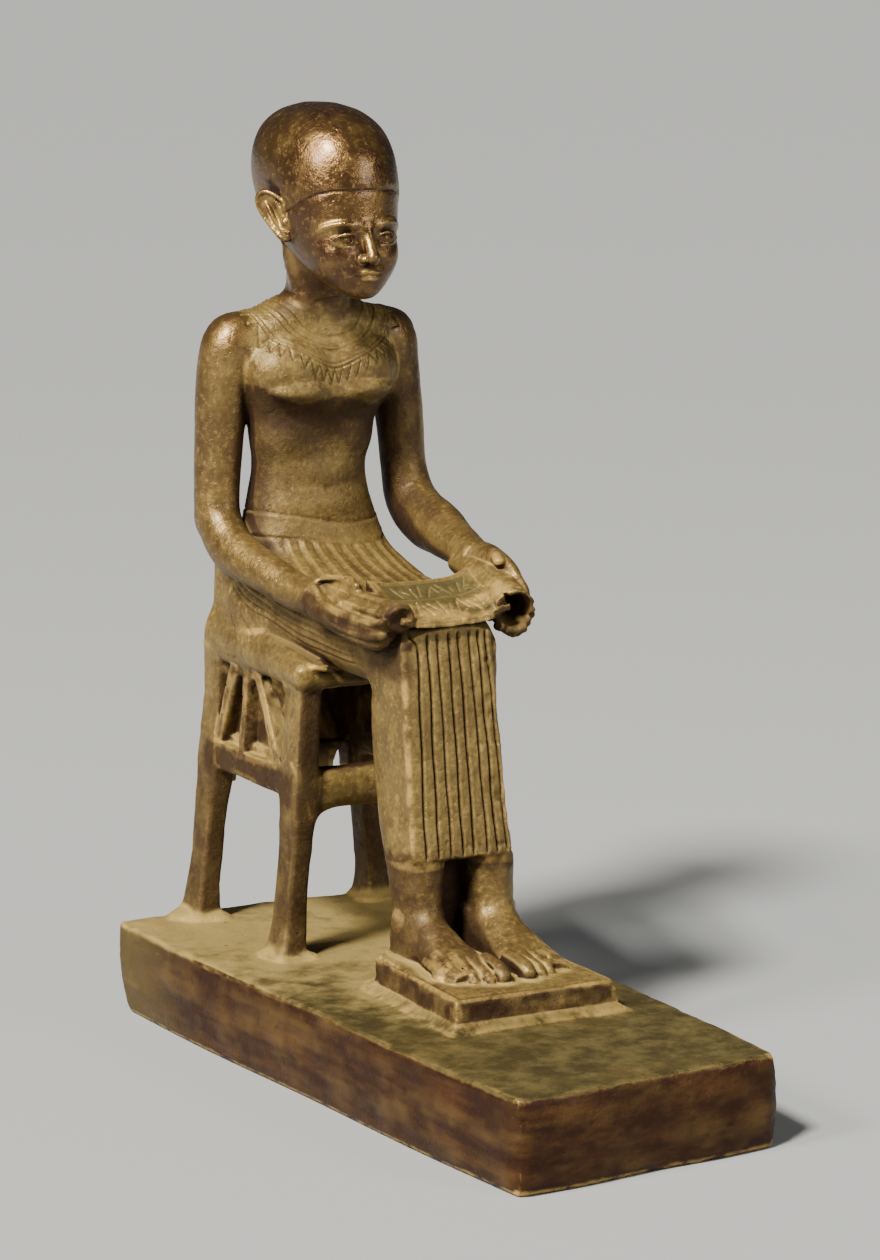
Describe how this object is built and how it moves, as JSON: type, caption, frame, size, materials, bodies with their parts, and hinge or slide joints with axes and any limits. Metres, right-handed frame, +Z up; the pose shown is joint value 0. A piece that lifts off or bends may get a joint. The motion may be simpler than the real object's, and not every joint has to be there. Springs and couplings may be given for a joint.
{
  "type": "seated imhotep statue",
  "caption": "Cast bronze statuette of a seated man reading an open papyrus roll, on a chair with a footrest and an oblong plinth.",
  "frame": {"origin": "middle of the outline, on the underside of the plinth", "axes": "+Z up; the figure faces -Y; its right hand is on the -X side"},
  "size_m": [0.0482, 0.1136, 0.1355],
  "materials": {
    "bronze": "old cast bronze, dark red-brown in the hollows, olive to ochre on lit faces, worn golden along edges"
  },
  "bodies": {
    "root": {"seated_figure_casting": "bronze"}
  },
  "joints": []
}
